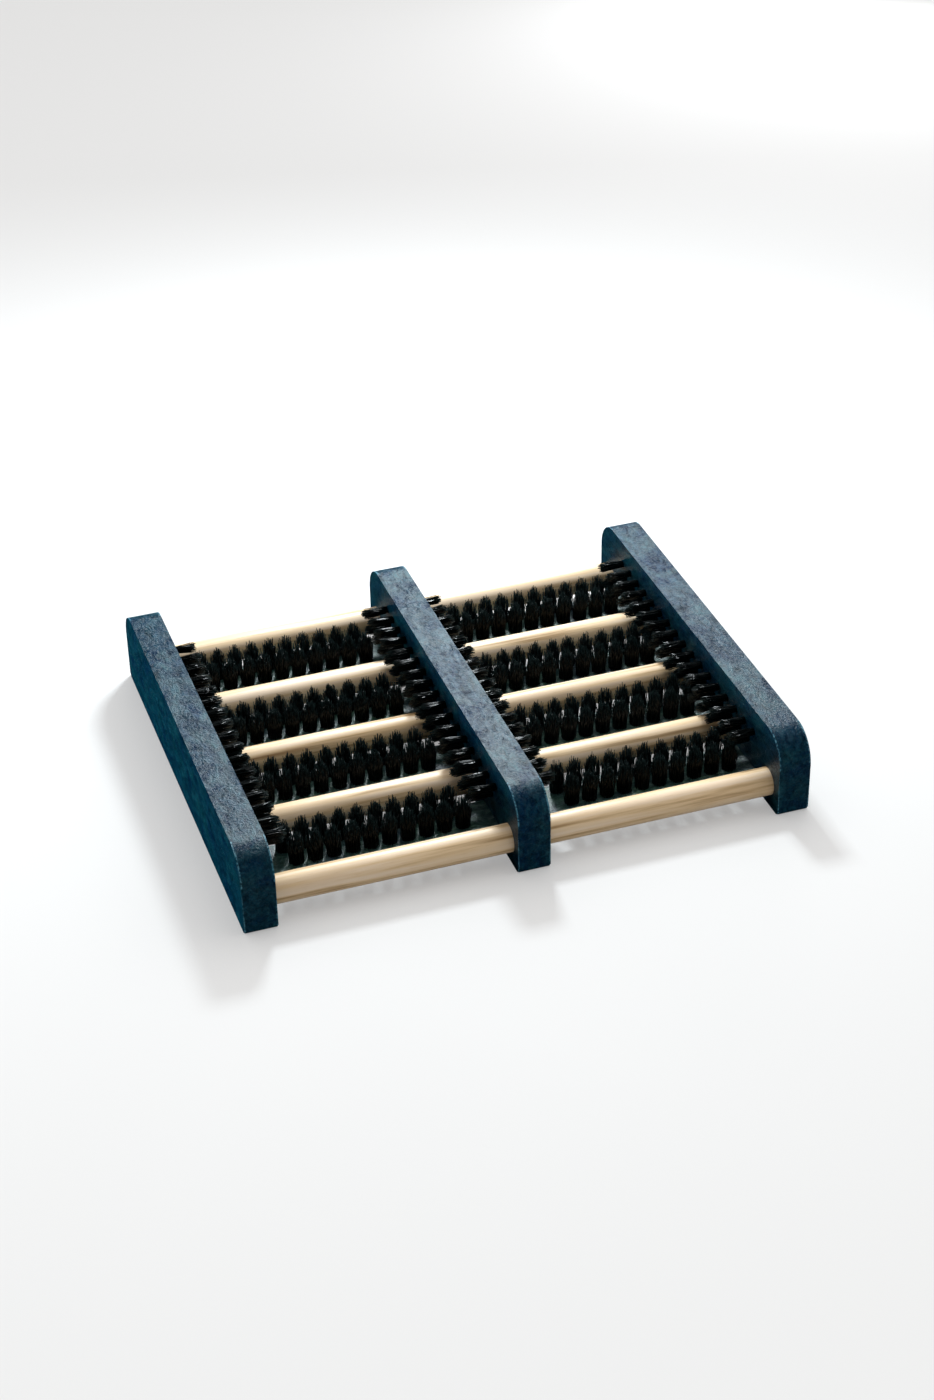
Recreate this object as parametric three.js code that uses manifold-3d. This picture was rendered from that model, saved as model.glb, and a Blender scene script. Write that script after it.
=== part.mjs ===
// Two-bay wooden foot roller with brush bars, in millimetres.
// X runs along the rollers, Y runs from front (negative) to back, and Z is the height above the floor.
import * as THREE from "three";
import { mergeVertices } from "three/addons/utils/BufferGeometryUtils.js";
import Module from "manifold-3d";

const wasm = await Module();
wasm.setup();

// Rails: three upright boards that stand on their lower edges
const railLength = 288;
const railHeight = 52;
const railThickness = 20;
const railTopRadius = 20;
const railBottomRadius = 2;
const railEdgeChamfer = 0.8;
const railSpacing = 164;

// Rollers: plain round rods whose ends sit loose in blind holes in the rails
const rollerCount = 5;
const rollerRadius = 8.7;
const rollerAxisHeight = 15.5;
const rollerPitch = 64.25;
const rollerEndChamfer = 0.8;
const rollerSides = 32;
const socketDepth = 8;
const socketClearance = 0.3;
const rollerEndFloat = 0.5;

// Brush bars: flat laths between the rollers, housed in the rails at both ends
const barCount = rollerCount - 1;
const barDepth = 27;
const barTop = 12;
const barThickness = 8.5;
const barEdgeChamfer = 0.6;
const housingDepth = 6;
const housingClearance = 0.3;

// Upright tufts: two staggered rows on each bar, fanned out below their domed tips
const tuftsPerRow = 10;
const tuftPitch = 11.25;
const tuftRowSpacing = 14;
const tuftStagger = 4.2;
const tuftRootRadius = 4.2;
const tuftFanRadius = 5.6;
const tuftTipRadius = 3;
const tuftFanHeight = 25;
const barTuftTop = 32.5;
const leftTuftsShift = -0.7;
const rightTuftsShift = 4.9;

// Side tufts: two staggered rows on each rail face that looks into a bay
const sideTuftsPerRow = 17;
const sideTuftPitch = 13.2;
const sideTuftLength = 17.5;
const sideTuftShortLength = 9.5;
const sideRowLow = 28;
const sideRowHigh = 36.5;
const sideTuftRadius = 3.2;
const sideTuftStepHeight = barTuftTop + 0.5;

const gap = 0.3;
const cutterOverrun = 1;
const bayClearWidth = railSpacing - railThickness;

const colours = {
  stainedRail: { color: 0x16262e, roughness: 0.45, metalness: 0 },
  stainedBar: { color: 0x22302f, roughness: 0.5, metalness: 0 },
  paleWood: { color: 0xe3cba6, roughness: 0.6, metalness: 0 },
  bristle: { color: 0x0c0c0e, roughness: 0.55, metalness: 0 },
};

// An outline drawn in (Y, Z) is extruded along X, and one drawn in (X, Z) is extruded along Y.
const outlineYZ = new THREE.Matrix4().makeBasis(
  new THREE.Vector3(0, 1, 0),
  new THREE.Vector3(0, 0, 1),
  new THREE.Vector3(1, 0, 0),
);
const outlineXZ = new THREE.Matrix4().makeBasis(
  new THREE.Vector3(1, 0, 0),
  new THREE.Vector3(0, 0, 1),
  new THREE.Vector3(0, -1, 0),
);

const object = new THREE.Group();

function addPart(name, geometry, colour, position) {
  const mesh = new THREE.Mesh(geometry, new THREE.MeshStandardMaterial(colour));
  mesh.name = name;
  mesh.position.copy(position);
  object.add(mesh);
}

function solidFrom(geometry) {
  const bare = geometry.clone();
  bare.deleteAttribute("normal");
  bare.deleteAttribute("uv");
  const merged = mergeVertices(bare, 1e-3);
  const mesh = new wasm.Mesh({
    numProp: 3,
    vertProperties: merged.getAttribute("position").array,
    triVerts: new Uint32Array(merged.index.array),
  });
  return new wasm.Manifold(mesh);
}

function geometryFrom(solid) {
  const mesh = solid.getMesh();
  const geometry = new THREE.BufferGeometry();
  geometry.setAttribute("position", new THREE.BufferAttribute(mesh.vertProperties, 3));
  geometry.setIndex(new THREE.BufferAttribute(mesh.triVerts, 1));
  geometry.computeVertexNormals();
  return geometry;
}

// Extrudes an outline with chamfered rims, centred on the origin along the extrusion.
function chamferedExtrusion(outline, length, chamfer, basis) {
  const geometry = new THREE.ExtrudeGeometry(outline, {
    depth: length - 2 * chamfer,
    bevelEnabled: chamfer > 0,
    bevelThickness: chamfer,
    bevelSize: chamfer,
    bevelOffset: -chamfer,
    bevelSegments: 1,
    curveSegments: 10,
  });
  geometry.translate(0, 0, chamfer - length / 2);
  geometry.applyMatrix4(basis);
  return geometry;
}

function polygon(points) {
  return new THREE.Shape(points.map(([x, y]) => new THREE.Vector2(x, y)));
}

// Side view of a rail: square feet with a small round, and wide round shoulders at the top.
function railOutline() {
  const half = railLength / 2;
  const foot = railBottomRadius;
  const shoulder = railTopRadius;
  const outline = new THREE.Shape();
  outline.moveTo(-half + foot, 0);
  outline.lineTo(half - foot, 0);
  outline.absarc(half - foot, foot, foot, -Math.PI / 2, 0);
  outline.lineTo(half, railHeight - shoulder);
  outline.absarc(half - shoulder, railHeight - shoulder, shoulder, 0, Math.PI / 2);
  outline.lineTo(-half + shoulder, railHeight);
  outline.absarc(-half + shoulder, railHeight - shoulder, shoulder, Math.PI / 2, Math.PI);
  outline.lineTo(-half, foot);
  outline.absarc(-half + foot, foot, foot, Math.PI, 1.5 * Math.PI);
  return outline;
}

function rollerY(index) {
  return (index - (rollerCount - 1) / 2) * rollerPitch;
}

function barY(index) {
  return (index - (barCount - 1) / 2) * rollerPitch;
}

// The blind round holes and the bar housings in one face of a rail, as cutting solids.
function faceCutters(faceDirection) {
  const cutters = [];
  const socketLength = socketDepth + cutterOverrun;
  const socketX = faceDirection * (railThickness / 2 - socketDepth + socketLength / 2);
  const socketRadius = rollerRadius + socketClearance;
  for (let i = 0; i < rollerCount; i += 1) {
    const hole = new THREE.CylinderGeometry(socketRadius, socketRadius, socketLength, rollerSides);
    hole.rotateZ(Math.PI / 2);
    hole.translate(socketX, rollerY(i), rollerAxisHeight);
    cutters.push(solidFrom(hole));
  }
  const housingLength = housingDepth + cutterOverrun;
  const housingX = faceDirection * (railThickness / 2 - housingDepth + housingLength / 2);
  const housingWidth = barDepth + 2 * housingClearance;
  const housingHeight = barThickness + 2 * housingClearance;
  for (let i = 0; i < barCount; i += 1) {
    const housing = new THREE.BoxGeometry(housingLength, housingWidth, housingHeight);
    housing.translate(housingX, barY(i), barTop - barThickness / 2);
    cutters.push(solidFrom(housing));
  }
  return cutters;
}

function railGeometry(faceDirections) {
  let solid = solidFrom(
    chamferedExtrusion(railOutline(), railThickness, railEdgeChamfer, outlineYZ),
  );
  for (const direction of faceDirections) {
    for (const cutter of faceCutters(direction)) {
      solid = solid.subtract(cutter);
    }
  }
  return geometryFrom(solid);
}

function rollerGeometry() {
  const halfLength = bayClearWidth / 2 + socketDepth - rollerEndFloat;
  const shoulder = rollerRadius - rollerEndChamfer;
  const profile = [
    new THREE.Vector2(0, -halfLength),
    new THREE.Vector2(shoulder, -halfLength),
    new THREE.Vector2(rollerRadius, -halfLength + rollerEndChamfer),
    new THREE.Vector2(rollerRadius, halfLength - rollerEndChamfer),
    new THREE.Vector2(shoulder, halfLength),
    new THREE.Vector2(0, halfLength),
  ];
  const geometry = new THREE.LatheGeometry(profile, rollerSides);
  geometry.rotateZ(-Math.PI / 2);
  return geometry;
}

function barGeometry() {
  const length = bayClearWidth + 2 * (housingDepth - gap);
  const half = barDepth / 2;
  const section = polygon([
    [-half, -barThickness / 2],
    [half, -barThickness / 2],
    [half, barThickness / 2],
    [-half, barThickness / 2],
  ]);
  return chamferedExtrusion(section, length, barEdgeChamfer, outlineYZ);
}

// The envelope of the upright tufts on one bar, widest where the tufts fan out below their tips.
function barTuftsGeometry() {
  const length = (tuftsPerRow - 1) * tuftPitch + tuftStagger + 2 * tuftRootRadius;
  const rootHalf = tuftRowSpacing / 2 + tuftRootRadius;
  const fanHalf = tuftRowSpacing / 2 + tuftFanRadius;
  const tipHalf = tuftRowSpacing / 2 + tuftTipRadius;
  const root = barTop + gap;
  const section = polygon([
    [-rootHalf, 0],
    [rootHalf, 0],
    [fanHalf, tuftFanHeight - root],
    [tipHalf, barTuftTop - root],
    [-tipHalf, barTuftTop - root],
    [-fanHalf, tuftFanHeight - root],
  ]);
  return chamferedExtrusion(section, length, 0, outlineYZ);
}

// The envelope of the side tufts on one rail face: its low row is shorter, to clear the bar tufts.
function sideTuftsGeometry(faceDirection) {
  const length = (sideTuftsPerRow - 1) * sideTuftPitch + 2 * sideTuftRadius;
  const bottom = sideRowLow - sideTuftRadius;
  const top = sideRowHigh + sideTuftRadius;
  const section = polygon([
    [faceDirection * gap, bottom],
    [faceDirection * sideTuftShortLength, bottom],
    [faceDirection * sideTuftShortLength, sideTuftStepHeight],
    [faceDirection * sideTuftLength, sideTuftStepHeight],
    [faceDirection * sideTuftLength, top],
    [faceDirection * gap, top],
  ]);
  return chamferedExtrusion(section, length, 0, outlineXZ);
}

function addRails() {
  const rails = [
    { name: "rail_left", x: -railSpacing, faces: [1] },
    { name: "rail_middle", x: 0, faces: [-1, 1] },
    { name: "rail_right", x: railSpacing, faces: [-1] },
  ];
  for (const rail of rails) {
    const place = new THREE.Vector3(rail.x, 0, 0);
    addPart(rail.name, railGeometry(rail.faces), colours.stainedRail, place);
  }
}

function addBay(side, centreX, tuftsShift) {
  for (let i = 0; i < rollerCount; i += 1) {
    const place = new THREE.Vector3(centreX, rollerY(i), rollerAxisHeight);
    addPart(`roller_${side}_${i + 1}`, rollerGeometry(), colours.paleWood, place);
  }
  for (let i = 0; i < barCount; i += 1) {
    const barPlace = new THREE.Vector3(centreX, barY(i), barTop - barThickness / 2);
    const tuftPlace = new THREE.Vector3(centreX + tuftsShift, barY(i), barTop + gap);
    addPart(`brush_bar_${side}_${i + 1}`, barGeometry(), colours.stainedBar, barPlace);
    addPart(`bar_tufts_${side}_${i + 1}`, barTuftsGeometry(), colours.bristle, tuftPlace);
  }
}

function addSideTufts() {
  const faces = [
    { name: "side_tufts_left_rail", railX: -railSpacing, direction: 1 },
    { name: "side_tufts_middle_rail_left", railX: 0, direction: -1 },
    { name: "side_tufts_middle_rail_right", railX: 0, direction: 1 },
    { name: "side_tufts_right_rail", railX: railSpacing, direction: -1 },
  ];
  for (const face of faces) {
    const place = new THREE.Vector3(face.railX + (face.direction * railThickness) / 2, 0, 0);
    addPart(face.name, sideTuftsGeometry(face.direction), colours.bristle, place);
  }
}

addRails();
addBay("left", -railSpacing / 2, leftTuftsShift);
addBay("right", railSpacing / 2, rightTuftsShift);
addSideTufts();

export default object;
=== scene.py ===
import math

import bmesh
import bpy
from mathutils import Matrix, Vector


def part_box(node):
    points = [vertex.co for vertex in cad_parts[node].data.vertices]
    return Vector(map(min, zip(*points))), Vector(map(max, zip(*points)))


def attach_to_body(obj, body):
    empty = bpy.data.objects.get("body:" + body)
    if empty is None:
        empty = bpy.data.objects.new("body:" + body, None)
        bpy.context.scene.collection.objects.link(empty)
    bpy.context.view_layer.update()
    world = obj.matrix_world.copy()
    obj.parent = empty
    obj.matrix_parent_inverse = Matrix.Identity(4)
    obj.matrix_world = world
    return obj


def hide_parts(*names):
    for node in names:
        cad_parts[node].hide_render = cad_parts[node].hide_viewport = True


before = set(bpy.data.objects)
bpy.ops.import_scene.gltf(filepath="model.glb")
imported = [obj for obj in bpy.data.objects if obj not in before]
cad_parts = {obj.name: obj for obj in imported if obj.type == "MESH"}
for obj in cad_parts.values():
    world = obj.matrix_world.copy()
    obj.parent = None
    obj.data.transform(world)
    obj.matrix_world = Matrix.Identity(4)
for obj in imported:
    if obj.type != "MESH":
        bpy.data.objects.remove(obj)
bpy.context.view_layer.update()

mm = 0.001
bays = ("left", "right")
rodNumbers = range(1, 6)
barNumbers = range(1, 5)
edgeRoundSteps = 3
largeFaceWeight = 80
black = (0.0, 0.0, 0.0)
white = (1.0, 1.0, 1.0)
print("frame loaded:", len(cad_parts), "nodes")


def newObject(name, mesh):
    piece = bpy.data.objects.new(name, mesh)
    bpy.context.scene.collection.objects.link(piece)
    return piece


def objectFrom(name, shape):
    # turns a finished bmesh into an object in the scene
    mesh = bpy.data.meshes.new(name)
    shape.to_mesh(mesh)
    shape.free()
    return newObject(name, mesh)


def settle(piece):
    # bakes the live modifiers into a plain mesh
    bpy.context.view_layer.update()
    evaluated = piece.evaluated_get(bpy.context.evaluated_depsgraph_get())
    mesh = bpy.data.meshes.new_from_object(evaluated)
    mesh.name = piece.name
    piece.modifiers.clear()
    piece.data = mesh


def smoothShade(piece, degrees):
    piece.data.shade_smooth()
    piece.data.set_sharp_from_angle(angle=math.radians(degrees))


def crispShade(piece, degrees):
    # smooth over the small rounds, with the large faces kept flat
    smoothShade(piece, degrees)
    modifier = piece.modifiers.new("flats", "WEIGHTED_NORMAL")
    modifier.keep_sharp = True
    modifier.weight = largeFaceWeight
    settle(piece)


def roundEdges(shape, edges, radius):
    # rounds the given edges and marks the new faces, where the stain wears first and where a painted
    # highlight line is laid along the edge
    wearAndHighlightFaces = shape.faces.layers.float.new("edge")
    done = bmesh.ops.bevel(shape, geom=edges, offset=radius, segments=edgeRoundSteps,
                           profile=0.5, affect="EDGES")
    for face in done["faces"]:
        face[wearAndHighlightFaces] = 1.0
    bmesh.ops.recalc_face_normals(shape, faces=shape.faces)


def attach(piece, material, body, node):
    piece.data.materials.clear()
    piece.data.materials.append(material)
    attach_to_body(piece, body)
    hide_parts(node)


def middle(node):
    low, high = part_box(node)
    return (low + high) / 2


def startMaterial(name):
    material = bpy.data.materials.new(name)
    material.use_nodes = True
    tree = material.node_tree
    return material, tree, tree.nodes["Principled BSDF"]


def stretchedNoise(tree, scale, detail, roughness=0.5, distortion=0.0):
    # noise on Object coordinates, with its own scale along X, Y and Z per metre
    coordinates = tree.nodes.new("ShaderNodeTexCoord")
    mapping = tree.nodes.new("ShaderNodeMapping")
    mapping.inputs["Scale"].default_value = scale
    noise = tree.nodes.new("ShaderNodeTexNoise")
    noise.inputs["Scale"].default_value = 1.0
    noise.inputs["Detail"].default_value = detail
    noise.inputs["Roughness"].default_value = roughness
    noise.inputs["Distortion"].default_value = distortion
    tree.links.new(coordinates.outputs["Object"], mapping.inputs["Vector"])
    tree.links.new(mapping.outputs["Vector"], noise.inputs["Vector"])
    return noise.outputs["Fac"]


def ramp(tree, source, stops, colours):
    node = tree.nodes.new("ShaderNodeValToRGB")
    first, last = node.color_ramp.elements
    first.position = stops[0]
    first.color = (*colours[0], 1.0)
    last.position = stops[-1]
    last.color = (*colours[-1], 1.0)
    for position, colour in zip(stops[1:-1], colours[1:-1]):
        between = node.color_ramp.elements.new(position)
        between.color = (*colour, 1.0)
    tree.links.new(source, node.inputs["Fac"])
    return node.outputs["Color"]


def mixColours(tree, blend, amount, first, second):
    node = tree.nodes.new("ShaderNodeMix")
    node.data_type = "RGBA"
    node.blend_type = blend
    node.inputs[0].default_value = amount
    tree.links.new(first, node.inputs[6])
    tree.links.new(second, node.inputs[7])
    return node.outputs[2]


def rangeOf(tree, source, result, span=(0.0, 1.0)):
    # maps a span of the source to the two values of the result
    node = tree.nodes.new("ShaderNodeMapRange")
    node.inputs["From Min"].default_value = span[0]
    node.inputs["From Max"].default_value = span[1]
    node.inputs["To Min"].default_value = result[0]
    node.inputs["To Max"].default_value = result[1]
    tree.links.new(source, node.inputs["Value"])
    return node.outputs["Result"]


def addBump(tree, shader, height, strength, distance):
    node = tree.nodes.new("ShaderNodeBump")
    node.inputs["Strength"].default_value = strength
    node.inputs["Distance"].default_value = distance
    tree.links.new(height, node.inputs["Height"])
    tree.links.new(node.outputs["Normal"], shader.inputs["Normal"])


stainSettings = {
    "dark": (0.0001, 0.0080, 0.0175),
    "middle": (0.0006, 0.0270, 0.0540),
    "light": (0.0040, 0.0700, 0.1150),
    # the lighter colour on the rounded edges is partly real wear of the stain and partly a painted highlight
    # line
    "wornEdgeAndHighlight": (0.060, 0.170, 0.220),
    "greenPatch": (1.1, 1.35, 1.02),
    "bluePatch": (0.7, 0.58, 0.80),
    "toneStops": (0.3, 0.5, 0.75),
    "patchStops": (0.35, 0.65),
    "edgeWearAndHighlightStops": (0.42, 0.56),
    "mottleShare": 0.5,
    "speckleShare": 0.35,
    "reliefShare": 0.5,
    "specular": (0.06, 0.60),
    "specularSpan": (0.42, 0.58),
    "roughness": (0.30, 0.48),
    "roughnessSpan": (0.40, 0.60),
    "cloudsPerMetre": (48.0, 36.0, 48.0),
    "mottlesAcross": 260.0,
    "mottlesAlong": 110.0,
    "specksPerMetre": 720.0,
    "bump": 1.4,
    "bumpDepth": 0.7 * mm,
}


def stainedWood(name, along, look):
    # a teal stain over closed grain: clouded, finely mottled, and a little rough to the touch
    material, tree, shader = startMaterial(name)
    stretched = [look["mottlesAcross"]] * 3
    stretched[along] = look["mottlesAlong"]
    cloud = stretchedNoise(tree, look["cloudsPerMetre"], detail=5.0, roughness=0.65, distortion=1.2)
    mottle = stretchedNoise(tree, stretched, detail=6.0, roughness=0.7, distortion=0.8)
    speckle = stretchedNoise(tree, [look["specksPerMetre"]] * 3, detail=3.0, roughness=0.65)
    stain = ramp(tree, mottle, look["toneStops"], (look["dark"], look["middle"], look["light"]))
    patches = ramp(tree, cloud, look["patchStops"], (look["bluePatch"], look["greenPatch"]))
    colour = mixColours(tree, "MULTIPLY", 1.0, stain, patches)
    # the rounded edges are painted lighter in speckles: partly real wear of the stain, partly a painted
    # highlight along each edge
    edge = tree.nodes.new("ShaderNodeAttribute")
    edge.attribute_name = "edge"
    rubbedAndLitEdge = ramp(tree, speckle, look["edgeWearAndHighlightStops"], (black, look["wornEdgeAndHighlight"]))
    edgeWearAndHighlight = mixColours(tree, "MULTIPLY", 1.0, rubbedAndLitEdge, edge.outputs["Color"])
    colour = mixColours(tree, "ADD", 1.0, colour, edgeWearAndHighlight)
    tree.links.new(colour, shader.inputs["Base Color"])
    uneven = mixColours(tree, "MIX", look["mottleShare"], cloud, mottle)
    uneven = mixColours(tree, "MIX", look["speckleShare"], uneven, speckle)
    matt = rangeOf(tree, uneven, look["roughness"], look["roughnessSpan"])
    tree.links.new(matt, shader.inputs["Roughness"])
    gloss = rangeOf(tree, uneven, look["specular"], look["specularSpan"])
    tree.links.new(gloss, shader.inputs["Specular IOR Level"])
    relief = mixColours(tree, "MIX", look["reliefShare"], mottle, speckle)
    addBump(tree, shader, relief, look["bump"], look["bumpDepth"])
    return material


rodSettings = {
    "pale": (0.85, 0.68, 0.505),
    "warm": (0.80, 0.60, 0.37),
    "brown": (0.43, 0.27, 0.13),
    "grainStops": (0.33, 0.46, 0.6),
    "bandTint": (0.86, 0.80, 0.70),
    "bandStops": (0.38, 0.56),
    "bandStrength": 0.8,
    "fleckTint": (0.80, 0.72, 0.60),
    "fleckStops": (0.3, 0.42),
    "fleckStrength": 0.4,
    "specular": 0.5,
    "roughness": (0.36, 0.48),
    "grainPerMetre": (7.0, 210.0, 210.0),
    "bandsPerMetre": (3.0, 60.0, 60.0),
    "flecksPerMetre": (70.0, 1500.0, 1500.0),
    "bump": 0.15,
    "bumpDepth": 0.2 * mm,
}


def paleWood(look):
    # straight-grained pale hardwood, with soft long streaks and faint flecks along X
    material, tree, shader = startMaterial("paleTurnedWood")
    grain = stretchedNoise(tree, look["grainPerMetre"], detail=4.0, roughness=0.55, distortion=0.3)
    band = stretchedNoise(tree, look["bandsPerMetre"], detail=3.0, roughness=0.5, distortion=0.8)
    fleck = stretchedNoise(tree, look["flecksPerMetre"], detail=2.0, roughness=0.6)
    body = ramp(tree, grain, look["grainStops"], (look["brown"], look["warm"], look["pale"]))
    tone = ramp(tree, band, look["bandStops"], (look["bandTint"], white))
    flecks = ramp(tree, fleck, look["fleckStops"], (look["fleckTint"], white))
    colour = mixColours(tree, "MULTIPLY", look["bandStrength"], body, tone)
    colour = mixColours(tree, "MULTIPLY", look["fleckStrength"], colour, flecks)
    tree.links.new(colour, shader.inputs["Base Color"])
    tree.links.new(rangeOf(tree, grain, look["roughness"]), shader.inputs["Roughness"])
    shader.inputs["Specular IOR Level"].default_value = look["specular"]
    addBump(tree, shader, grain, look["bump"], look["bumpDepth"])
    return material


bristleSettings = {
    "dark": (0.0002, 0.0006, 0.0007),
    "light": (0.0014, 0.0036, 0.0038),
    # tip: a paler colour painted along the last part of each bristle, a painted highlight on the tuft heads
    "tip": (0.006, 0.013, 0.013),
    "tipHighlightStart": 0.86,
    "specular": 0.4,
    "roughness": 0.28,
}


def bristleFibre(look):
    # black fibre: each bristle has its own shade, and the tips carry a paler colour, a painted highlight on
    # the tuft heads
    material, tree, shader = startMaterial("blackBristle")
    shade = tree.nodes.new("ShaderNodeAttribute")
    shade.attribute_name = "shade"
    along = tree.nodes.new("ShaderNodeAttribute")
    along.attribute_name = "along"
    own = ramp(tree, shade.outputs["Fac"], (0.0, 1.0), (look["dark"], look["light"]))
    tips = ramp(tree, along.outputs["Fac"], (look["tipHighlightStart"], 1.0), (black, look["tip"]))
    colour = mixColours(tree, "ADD", 1.0, own, tips)
    tree.links.new(colour, shader.inputs["Base Color"])
    shader.inputs["Roughness"].default_value = look["roughness"]
    shader.inputs["Specular IOR Level"].default_value = look["specular"]
    return material


# the bar's tones are lifted far above its dark stain: a painted sheen, standing for the light glancing off
# the bar between the tufts
barStainAndPaintedSheen = dict(stainSettings, **{
    "dark": (0.004, 0.018, 0.019),
    "middle": (0.022, 0.058, 0.056),
    "light": (0.150, 0.230, 0.215),
    "specular": (0.5, 1.0),
})
railMaterial = stainedWood("tealStainedRail", 1, stainSettings)
barMaterial = stainedWood("stainedBarWithPaintedSheen", 0, barStainAndPaintedSheen)
rodMaterial = paleWood(rodSettings)
bristleMaterial = bristleFibre(bristleSettings)
print("materials made")


railSettings = {
    "shoulderRadius": 20 * mm,
    "footRadius": 2 * mm,
    "edgeRound": 0.9 * mm,
    "shoulderSteps": 28,
    "footSteps": 5,
    "holeClearance": 0.3 * mm,
    "holeSides": 64,
    "holeExtraDepth": 0.5 * mm,
    "sharpAngle": 32,
}


def arcPoints(centre, radius, startTurn, steps):
    # a quarter circle, counted in quarter turns from +Y towards +Z
    points = []
    for step in range(steps + 1):
        angle = (startTurn + step / steps) * math.pi / 2
        points.append((centre[0] + radius * math.cos(angle), centre[1] + radius * math.sin(angle)))
    return points


def railBoard(name, node, look):
    low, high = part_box(node)
    shoulder, foot = look["shoulderRadius"], look["footRadius"]
    outline = arcPoints((high.y - foot, low.z + foot), foot, 3, look["footSteps"])
    outline += arcPoints((high.y - shoulder, high.z - shoulder), shoulder, 0, look["shoulderSteps"])
    outline += arcPoints((low.y + shoulder, high.z - shoulder), shoulder, 1, look["shoulderSteps"])
    outline += arcPoints((low.y + foot, low.z + foot), foot, 2, look["footSteps"])
    shape = bmesh.new()
    nearFace = [shape.verts.new((low.x, y, z)) for y, z in outline]
    farFace = [shape.verts.new((high.x, y, z)) for y, z in outline]
    count = len(outline)
    nearRim = shape.faces.new(nearFace)
    farRim = shape.faces.new(farFace)
    for i in range(count):
        j = (i + 1) % count
        shape.faces.new((nearFace[i], nearFace[j], farFace[j], farFace[i]))
    rims = list(nearRim.edges) + list(farRim.edges)
    roundEdges(shape, rims, look["edgeRound"])
    return objectFrom(name, shape)


def addRoundPeg(shape, centre, radius, length, sides):
    turn = Matrix.Rotation(math.pi / 2, 4, "Y")
    bmesh.ops.create_cone(shape, cap_ends=True, segments=sides, radius1=radius, radius2=radius,
                          depth=length, matrix=Matrix.Translation(centre) @ turn)


def addBlock(shape, low, high):
    size = Matrix.Diagonal((*(high - low), 1.0))
    bmesh.ops.create_cube(shape, size=1.0, matrix=Matrix.Translation((low + high) / 2) @ size)


def cutHoles(board, sides, look):
    # blind holes for the rods and housings for the bars, one hole for each end that meets this rail
    clear = look["holeClearance"]
    for side in sides:
        shape = bmesh.new()
        for i in rodNumbers:
            low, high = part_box(f"roller_{side}_{i}")
            centre = (low + high) / 2
            length = high.x - low.x + 2 * look["holeExtraDepth"]
            radius = (high.z - low.z) / 2 + clear
            addRoundPeg(shape, centre, radius, length, look["holeSides"])
        for i in barNumbers:
            low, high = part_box(f"brush_bar_{side}_{i}")
            grow = Vector((clear, clear, clear))
            addBlock(shape, low - grow, high + grow)
        cutter = objectFrom("cutter", shape)
        modifier = board.modifiers.new("holes", "BOOLEAN")
        modifier.operation = "DIFFERENCE"
        modifier.solver = "EXACT"
        modifier.object = cutter
        settle(board)
        bpy.data.objects.remove(cutter)


def makeRails():
    rails = {
        "leftRailBoard": ("rail_left", ("left",)),
        "middleRailBoard": ("rail_middle", bays),
        "rightRailBoard": ("rail_right", ("right",)),
    }
    for name, (node, sides) in rails.items():
        board = railBoard(name, node, railSettings)
        cutHoles(board, sides, railSettings)
        crispShade(board, railSettings["sharpAngle"])
        attach(board, railMaterial, "frame", node)


rodShape = {
    "sides": 72,
    "endRound": 0.9 * mm,
    "endSteps": 4,
    "sharpAngle": 40,
}


def turnedRod(name, node, look):
    low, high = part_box(node)
    centre = (low + high) / 2
    radius = (high.z - low.z) / 2
    ease = look["endRound"]
    profile = []
    for step in range(look["endSteps"] + 1):
        angle = step / look["endSteps"] * math.pi / 2
        profile.append((low.x + ease - ease * math.cos(angle), radius - ease + ease * math.sin(angle)))
    profile += [(low.x + high.x - x, r) for x, r in reversed(profile)]
    shape = bmesh.new()
    rings = []
    for x, r in profile:
        ring = []
        for side in range(look["sides"]):
            angle = side / look["sides"] * math.tau
            ring.append(shape.verts.new((x, centre.y + r * math.cos(angle), centre.z + r * math.sin(angle))))
        rings.append(ring)
    for first, second in zip(rings, rings[1:]):
        for side in range(look["sides"]):
            after = (side + 1) % look["sides"]
            shape.faces.new((first[side], first[after], second[after], second[side]))
    shape.faces.new(rings[0])
    shape.faces.new(rings[-1])
    bmesh.ops.recalc_face_normals(shape, faces=shape.faces)
    rod = objectFrom(name, shape)
    smoothShade(rod, look["sharpAngle"])
    return rod


def makeRods():
    for side in bays:
        for i in rodNumbers:
            node = f"roller_{side}_{i}"
            rod = turnedRod(f"{side}Rod{i}", node, rodShape)
            attach(rod, rodMaterial, node, node)


barShape = {
    "edgeRound": 0.9 * mm,
    "sharpAngle": 50,
}


def brushBar(name, node, look):
    low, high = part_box(node)
    shape = bmesh.new()
    addBlock(shape, low, high)
    roundEdges(shape, list(shape.edges), look["edgeRound"])
    bar = objectFrom(name, shape)
    crispShade(bar, look["sharpAngle"])
    return bar


def makeBars():
    for side in bays:
        for i in barNumbers:
            node = f"brush_bar_{side}_{i}"
            bar = brushBar(f"{side}BrushBar{i}", node, barShape)
            attach(bar, barMaterial, "frame", node)


tuftInputs = {
    "NodeSocketInt": ("Front Columns", "Back Columns", "Bristles", "Seed"),
    "NodeSocketFloat": ("Pitch", "Row Spacing", "Front Shift", "Back Shift", "Root Radius", "Tip Radius",
                        "Length", "Dome", "Length Spread", "Scatter", "Tuft Lean", "Fibre Radius", "Bend"),
    "NodeSocketMaterial": ("Material",),
}
# every random draw has its own step away from the seed of its set of tufts
draws = {
    "spiral": 1,
    "scatterX": 2,
    "scatterY": 3,
    "leanX": 4,
    "leanY": 5,
    "shade": 6,
    "spin": 7,
    "length": 8,
}
goldenAngle = 2.39996
fullTurn = 6.283
fibreTaper = 0.25
fibreSides = 3
fibreSteps = 3
idsPerTuft = 1000


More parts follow.
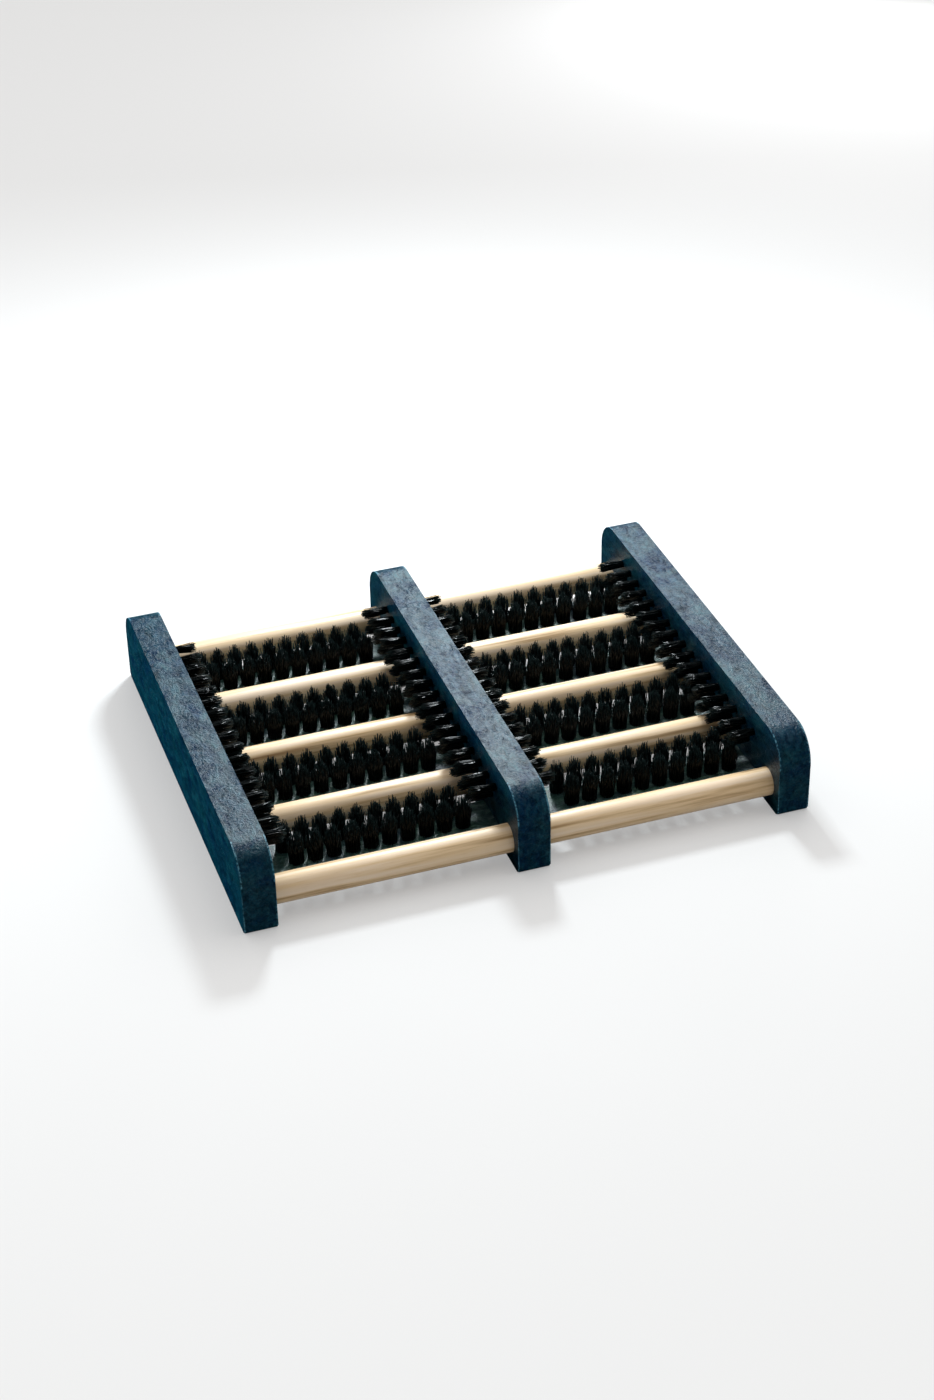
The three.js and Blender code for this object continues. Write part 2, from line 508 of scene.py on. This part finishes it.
def addInputs(tree):
    tree.interface.new_socket(name="Geometry", in_out="OUTPUT", socket_type="NodeSocketGeometry")
    for kind, names in tuftInputs.items():
        for name in names:
            tree.interface.new_socket(name=name, in_out="INPUT", socket_type=kind)
    return tree.nodes.new("NodeGroupInput").outputs


def feed(tree, socket, value):
    # a number is set on the socket, and another node's output is linked to it
    if isinstance(value, (int, float)):
        socket.default_value = value
    elif value is not None:
        tree.links.new(value, socket)


def maths(tree, operation, first, second=None):
    node = tree.nodes.new("ShaderNodeMath")
    node.operation = operation
    feed(tree, node.inputs[0], first)
    feed(tree, node.inputs[1], second)
    return node.outputs[0]


def vector(tree, x, y, z):
    node = tree.nodes.new("ShaderNodeCombineXYZ")
    for socket, value in zip(node.inputs, (x, y, z)):
        feed(tree, socket, value)
    return node.outputs[0]


def vectorMaths(tree, operation, first, second):
    node = tree.nodes.new("ShaderNodeVectorMath")
    node.operation = operation
    other = "Scale" if operation == "SCALE" else 1
    feed(tree, node.inputs[0], first)
    feed(tree, node.inputs[other], second)
    return node.outputs[0]


def randomFloat(tree, given, low, high, identity, draw):
    node = tree.nodes.new("FunctionNodeRandomValue")
    node.data_type = "FLOAT"
    node.inputs[2].default_value = low
    node.inputs[3].default_value = high
    feed(tree, node.inputs["ID"], identity)
    feed(tree, node.inputs["Seed"], maths(tree, "ADD", given["Seed"], draws[draw]))
    return node.outputs[1]


def remember(tree, geometry, name, kind, value):
    # stores a value on every point, under a name
    node = tree.nodes.new("GeometryNodeStoreNamedAttribute")
    node.data_type = kind
    node.domain = "POINT"
    node.inputs["Name"].default_value = name
    feed(tree, node.inputs["Geometry"], geometry)
    feed(tree, node.inputs["Value"], value)
    return node.outputs[0]


def tuftRow(tree, given, row, side):
    # the middles of one row of tufts, in a line along X that starts half its length to the left
    columns = given[f"{row} Columns"]
    spaces = maths(tree, "SUBTRACT", columns, 1)
    toFirst = maths(tree, "MULTIPLY", spaces, maths(tree, "MULTIPLY", given["Pitch"], -0.5))
    startX = maths(tree, "ADD", toFirst, given[f"{row} Shift"])
    startY = maths(tree, "MULTIPLY", given["Row Spacing"], side)
    line = tree.nodes.new("GeometryNodeMeshLine")
    feed(tree, line.inputs["Count"], columns)
    feed(tree, line.inputs["Start Location"], vector(tree, startX, startY, 0.0))
    feed(tree, line.inputs["Offset"], vector(tree, given["Pitch"], 0.0, 0.0))
    return line.outputs["Mesh"]


def bristlePoints(tree, given):
    # one point for every bristle, which knows its tuft and its number in the tuft
    join = tree.nodes.new("GeometryNodeJoinGeometry")
    feed(tree, join.inputs[0], tuftRow(tree, given, "Front", -0.5))
    feed(tree, join.inputs[0], tuftRow(tree, given, "Back", 0.5))
    index = tree.nodes.new("GeometryNodeInputIndex").outputs[0]
    tufts = remember(tree, join.outputs[0], "tuft", "INT", index)
    copies = tree.nodes.new("GeometryNodeDuplicateElements")
    copies.domain = "POINT"
    feed(tree, copies.inputs["Geometry"], tufts)
    feed(tree, copies.inputs["Amount"], given["Bristles"])
    number = copies.outputs["Duplicate Index"]
    tuft = tree.nodes.new("GeometryNodeInputNamedAttribute")
    tuft.data_type = "INT"
    tuft.inputs["Name"].default_value = "tuft"
    tuftId = tuft.outputs[0]
    firstId = maths(tree, "MULTIPLY", tuftId, idsPerTuft)
    bristleId = maths(tree, "ADD", firstId, number)
    return copies.outputs["Geometry"], {"number": number, "tuft": tuftId, "bristle": bristleId}


def randomOffset(tree, given, identity, drawX, drawY, reach):
    x = randomFloat(tree, given, -1.0, 1.0, identity, drawX)
    y = randomFloat(tree, given, -1.0, 1.0, identity, drawY)
    return vectorMaths(tree, "SCALE", vector(tree, x, y, 0.0), reach)


def spreadBristles(tree, given, points, own):
    # bristles fill a round bundle in a sunflower spiral, and fan out from their roots to their tips
    share = maths(tree, "DIVIDE", maths(tree, "ADD", own["number"], 0.5), given["Bristles"])
    out = maths(tree, "SQRT", share)
    start = randomFloat(tree, given, 0.0, fullTurn, own["tuft"], "spiral")
    angle = maths(tree, "ADD", maths(tree, "MULTIPLY", own["number"], goldenAngle), start)
    ray = vector(tree, maths(tree, "COSINE", angle), maths(tree, "SINE", angle), 0.0)
    root = vectorMaths(tree, "SCALE", ray, maths(tree, "MULTIPLY", out, given["Root Radius"]))
    tip = vectorMaths(tree, "SCALE", ray, maths(tree, "MULTIPLY", out, given["Tip Radius"]))
    scatter = randomOffset(tree, given, own["bristle"], "scatterX", "scatterY", given["Scatter"])
    lean = randomOffset(tree, given, own["tuft"], "leanX", "leanY", given["Tuft Lean"])
    tip = vectorMaths(tree, "ADD", tip, scatter)
    tip = vectorMaths(tree, "ADD", tip, lean)
    direction = vectorMaths(tree, "SUBTRACT", tip, root)
    direction = vectorMaths(tree, "ADD", direction, vector(tree, 0.0, 0.0, given["Length"]))
    place = tree.nodes.new("GeometryNodeSetPosition")
    feed(tree, place.inputs["Geometry"], points)
    feed(tree, place.inputs["Offset"], root)
    shade = randomFloat(tree, given, 0.0, 1.0, own["bristle"], "shade")
    return remember(tree, place.outputs[0], "shade", "FLOAT", shade), direction, share


def oneFibre(tree, given):
    # one fibre of unit length and unit radius, tapered and slightly bent
    fibre = tree.nodes.new("GeometryNodeMeshCylinder")
    fibre.fill_type = "NGON"
    fibre.inputs["Vertices"].default_value = fibreSides
    fibre.inputs["Side Segments"].default_value = fibreSteps
    fibre.inputs["Radius"].default_value = 1.0
    fibre.inputs["Depth"].default_value = 1.0
    rise = tree.nodes.new("GeometryNodeTransform")
    rise.inputs["Translation"].default_value = (0.0, 0.0, 0.5)
    feed(tree, rise.inputs["Geometry"], fibre.outputs["Mesh"])
    split = tree.nodes.new("ShaderNodeSeparateXYZ")
    feed(tree, split.inputs[0], tree.nodes.new("GeometryNodeInputPosition").outputs[0])
    height = split.outputs["Z"]
    measured = remember(tree, rise.outputs[0], "along", "FLOAT", height)
    taper = maths(tree, "SUBTRACT", 1.0, maths(tree, "MULTIPLY", height, fibreTaper))
    curl = maths(tree, "MULTIPLY", maths(tree, "MULTIPLY", height, height), given["Bend"])
    x = maths(tree, "ADD", maths(tree, "MULTIPLY", split.outputs["X"], taper), curl)
    y = maths(tree, "MULTIPLY", split.outputs["Y"], taper)
    bend = tree.nodes.new("GeometryNodeSetPosition")
    feed(tree, bend.inputs["Geometry"], measured)
    feed(tree, bend.inputs["Position"], vector(tree, x, y, height))
    return bend.outputs[0]


def fibreTurn(tree, given, direction, own):
    # points along the bristle's direction, and is spun about it so that each one bends its own way
    turn = tree.nodes.new("FunctionNodeAlignRotationToVector")
    turn.axis = "Z"
    feed(tree, turn.inputs["Vector"], direction)
    angle = tree.nodes.new("FunctionNodeEulerToRotation")
    spinZ = randomFloat(tree, given, 0.0, fullTurn, own["bristle"], "spin")
    feed(tree, angle.inputs[0], vector(tree, 0.0, 0.0, spinZ))
    spin = tree.nodes.new("FunctionNodeRotateRotation")
    spin.rotation_space = "LOCAL"
    feed(tree, spin.inputs["Rotation"], turn.outputs[0])
    feed(tree, spin.inputs["Rotate By"], angle.outputs[0])
    return spin.outputs[0]


def fibreScale(tree, given, share, own):
    # the outer bristles of a tuft are shorter, so that its head is domed
    dome = maths(tree, "SUBTRACT", 1.0, maths(tree, "MULTIPLY", share, given["Dome"]))
    spread = randomFloat(tree, given, -1.0, 1.0, own["bristle"], "length")
    uneven = maths(tree, "MULTIPLY", spread, given["Length Spread"])
    length = maths(tree, "MULTIPLY", given["Length"], maths(tree, "ADD", dome, uneven))
    return vector(tree, given["Fibre Radius"], given["Fibre Radius"], length)


def tuftTree():
    # two rows of tufts along X, standing up along Z
    tree = bpy.data.node_groups.new("bristleTufts", "GeometryNodeTree")
    given = addInputs(tree)
    points, own = bristlePoints(tree, given)
    points, direction, share = spreadBristles(tree, given, points, own)
    plant = tree.nodes.new("GeometryNodeInstanceOnPoints")
    feed(tree, plant.inputs["Points"], points)
    feed(tree, plant.inputs["Instance"], oneFibre(tree, given))
    feed(tree, plant.inputs["Rotation"], fibreTurn(tree, given, direction, own))
    feed(tree, plant.inputs["Scale"], fibreScale(tree, given, share, own))
    real = tree.nodes.new("GeometryNodeRealizeInstances")
    feed(tree, real.inputs[0], plant.outputs[0])
    paint = tree.nodes.new("GeometryNodeSetMaterial")
    feed(tree, paint.inputs["Geometry"], real.outputs[0])
    feed(tree, paint.inputs["Material"], given["Material"])
    feed(tree, tree.nodes.new("NodeGroupOutput").inputs["Geometry"], paint.outputs[0])
    return tree


def grownTufts(name, tree, values, place):
    # runs the tree once, and keeps its result as a plain mesh in the object's own frame
    piece = newObject(name, bpy.data.meshes.new(name))
    modifier = piece.modifiers.new("tufts", "NODES")
    modifier.node_group = tree
    for item in tree.interface.items_tree:
        if item.in_out == "INPUT":
            modifier[item.identifier] = values[item.name]
    settle(piece)
    piece.data.transform(place)
    piece.data.shade_smooth()
    return piece


barTuftSettings = {
    "Front Columns": 10,
    "Back Columns": 10,
    "Bristles": 115,
    "Pitch": 11.25 * mm,
    "Row Spacing": 14 * mm,
    "Root Radius": 4.3 * mm,
    "Tip Radius": 5.3 * mm,
    "Dome": 0.40,
    "Length Spread": 0.08,
    "Scatter": 0.6 * mm,
    "Tuft Lean": 0.4 * mm,
    "Fibre Radius": 0.28 * mm,
    "Bend": 2.8,
    "Material": bristleMaterial,
}
sideTuftSettings = dict(barTuftSettings, **{
    "Front Columns": 16,
    "Back Columns": 17,
    "Pitch": 13.2 * mm,
    "Row Spacing": 8.5 * mm,
    "Front Shift": 0.0,
    "Back Shift": 0.0,
    "Bristles": 80,
    "Root Radius": 2.2 * mm,
    "Tip Radius": 2.8 * mm,
    "Dome": 0.1,
    "Scatter": 0.45 * mm,
    "Length": 17.2 * mm,
})
plantingSettings = {
    "rootDepth": 0.8 * mm,
    "rowStagger": 4.2 * mm,
    "seedStep": 10,
    "firstSeed": {"left": 0, "right": 100, "sides": 200},
}


def makeBarTufts(tree, look):
    # the two rows are set over from each other, the front one to the right
    for side in bays:
        for i in barNumbers:
            node = f"bar_tufts_{side}_{i}"
            centre = middle(node)
            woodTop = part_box(f"brush_bar_{side}_{i}")[1].z
            root = woodTop - look["rootDepth"]
            values = dict(barTuftSettings, **{
                "Front Shift": look["rowStagger"] / 2,
                "Back Shift": -look["rowStagger"] / 2,
                "Length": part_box(node)[1].z - root,
                "Seed": look["firstSeed"][side] + look["seedStep"] * i,
            })
            place = Matrix.Translation((centre.x, centre.y, root))
            tufts = grownTufts(f"{side}BarTufts{i}", tree, values, place)
            attach(tufts, bristleMaterial, "frame", node)


def makeSideTufts(tree, look):
    faces = {
        "leftRailTufts": ("side_tufts_left_rail", "rail_left", 1),
        "middleRailLeftTufts": ("side_tufts_middle_rail_left", "rail_middle", -1),
        "middleRailRightTufts": ("side_tufts_middle_rail_right", "rail_middle", 1),
        "rightRailTufts": ("side_tufts_right_rail", "rail_right", -1),
    }
    for i, (name, (node, rail, facing)) in enumerate(faces.items()):
        centre = middle(node)
        railLow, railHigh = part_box(rail)
        faceX = railHigh.x if facing > 0 else railLow.x
        values = dict(sideTuftSettings, Seed=look["firstSeed"]["sides"] + look["seedStep"] * i)
        # columns run along the rail, the second row lies above the first, and the tufts point into the bay
        basis = Matrix(((0, 0, facing), (facing, 0, 0), (0, 1, 0))).to_4x4()
        rootX = faceX - facing * look["rootDepth"]
        place = Matrix.Translation((rootX, centre.y, centre.z)) @ basis
        tufts = grownTufts(name, tree, values, place)
        attach(tufts, bristleMaterial, "frame", node)


cameraSettings = {
    "target": (0.0119, 0.0106, 0.020),
    "azimuth": -18.262,
    "elevation": 33.482,
    "roll": -1.231,
    "distance": 1.6414,
    "lens": 67.61,
    "sensorWidth": 36.0,
    "nearest": 0.05,
    "farthest": 300.0,
}


def makeCamera(look):
    azimuth, elevation, roll = (math.radians(look[key]) for key in ("azimuth", "elevation", "roll"))
    back = Vector((math.sin(azimuth) * math.cos(elevation), -math.cos(azimuth) * math.cos(elevation),
                   math.sin(elevation)))
    right = Vector((math.cos(azimuth), math.sin(azimuth), 0.0))
    up = back.cross(right)
    turn = Matrix.Rotation(roll, 3, back)
    axes = Matrix((turn @ right, turn @ up, back)).transposed()
    camera = bpy.data.objects.new("camera", bpy.data.cameras.new("camera"))
    camera.data.lens = look["lens"]
    camera.data.sensor_width = look["sensorWidth"]
    camera.data.clip_start = look["nearest"]
    camera.data.clip_end = look["farthest"]
    place = Vector(look["target"]) + look["distance"] * back
    camera.matrix_world = Matrix.Translation(place) @ axes.to_4x4()
    bpy.context.scene.collection.objects.link(camera)
    bpy.context.scene.camera = camera


lightSettings = {
    "backPanel": {"place": (0.14, 0.47, 0.52), "aim": (-0.02, -0.06, 0.05), "size": (0.13, 0.10),
                  "power": 6.6, "colour": (0.88, 0.96, 1.0), "sheen": True},
    "rimPanel": {"place": (0.85, 1.15, 0.26), "aim": (0.0, 0.0, 0.04), "size": (0.5, 0.35),
                 "power": 3.0, "colour": (0.95, 0.98, 1.0), "sheen": True},
    "lowLeftPanel": {"place": (-1.1, 0.35, 0.09), "aim": (-0.17, 0.0, 0.04), "size": (0.8, 0.1),
                     "power": 12.0, "colour": (0.95, 0.98, 1.0), "sheen": False},
    "lowFrontPanel": {"place": (0.1, -1.3, 0.12), "aim": (0.0, -0.14, 0.02), "size": (0.9, 0.12),
                      "power": 2.5, "colour": (1.0, 0.98, 0.95), "sheen": False},
}


def makeLights(look):
    for name, panel in look.items():
        light = bpy.data.objects.new(name, bpy.data.lights.new(name, "AREA"))
        light.data.shape = "RECTANGLE"
        light.data.size, light.data.size_y = panel["size"]
        light.data.energy = panel["power"]
        light.data.color = panel["colour"]
        light.location = panel["place"]
        light.visible_glossy = panel["sheen"]
        aim = Vector(panel["aim"]) - Vector(panel["place"])
        light.rotation_euler = aim.to_track_quat("-Z", "Y").to_euler()
        bpy.context.scene.collection.objects.link(light)


worldSettings = {
    "brightSide": (0.38, 0.63, 0.67),
    "dim": (0.08, 0.08, 0.08),
    "bright": (2.0, 1.98, 1.95),
    "brightSpan": (0.12, 0.95),
}


def makeWorld(look):
    # an even studio surround that lights softly from the back right, without mirror images of itself
    world = bpy.data.worlds.new("studio")
    world.use_nodes = True
    tree = world.node_tree
    background = tree.nodes["Background"]
    coordinates = tree.nodes.new("ShaderNodeTexCoord")
    towards = tree.nodes.new("ShaderNodeVectorMath")
    towards.operation = "DOT_PRODUCT"
    towards.inputs[1].default_value = look["brightSide"]
    tree.links.new(coordinates.outputs["Generated"], towards.inputs[0])
    share = rangeOf(tree, towards.outputs["Value"], (0.0, 1.0), look["brightSpan"])
    sky = ramp(tree, share, (0.0, 1.0), (look["dim"], look["bright"]))
    tree.links.new(sky, background.inputs["Color"])
    background.inputs["Strength"].default_value = 1.0
    world.cycles_visibility.glossy = False
    bpy.context.scene.world = world


floorSettings = {
    "size": 200.0,
    "colour": (0.43, 0.43, 0.43),
    "glow": (0.33, 0.33, 0.33),
    "roughness": 0.9,
}


def makeFloor(look):
    # pale and even; its glow is only for the eye, so that it adds no light under the frame
    shape = bmesh.new()
    bmesh.ops.create_grid(shape, x_segments=1, y_segments=1, size=look["size"] / 2)
    floor = objectFrom("floor", shape)
    material, tree, shader = startMaterial("paleFloor")
    shader.inputs["Base Color"].default_value = (*look["colour"], 1.0)
    shader.inputs["Roughness"].default_value = look["roughness"]
    shader.inputs["Specular IOR Level"].default_value = 0.0
    shader.inputs["Emission Color"].default_value = (*look["glow"], 1.0)
    lightPath = tree.nodes.new("ShaderNodeLightPath")
    tree.links.new(lightPath.outputs["Is Camera Ray"], shader.inputs["Emission Strength"])
    floor.data.materials.append(material)
    floor.visible_glossy = False


makeCamera(cameraSettings)
makeLights(lightSettings)
makeWorld(worldSettings)
makeFloor(floorSettings)
bpy.context.scene.view_settings.view_transform = "Standard"
print("camera, lights and floor made")

makeRails()
print("rails made")
makeRods()
print("rods made")
makeBars()
print("brush bars made")
bristleTree = tuftTree()
makeBarTufts(bristleTree, plantingSettings)
makeSideTufts(bristleTree, plantingSettings)
print("bristle tufts made")
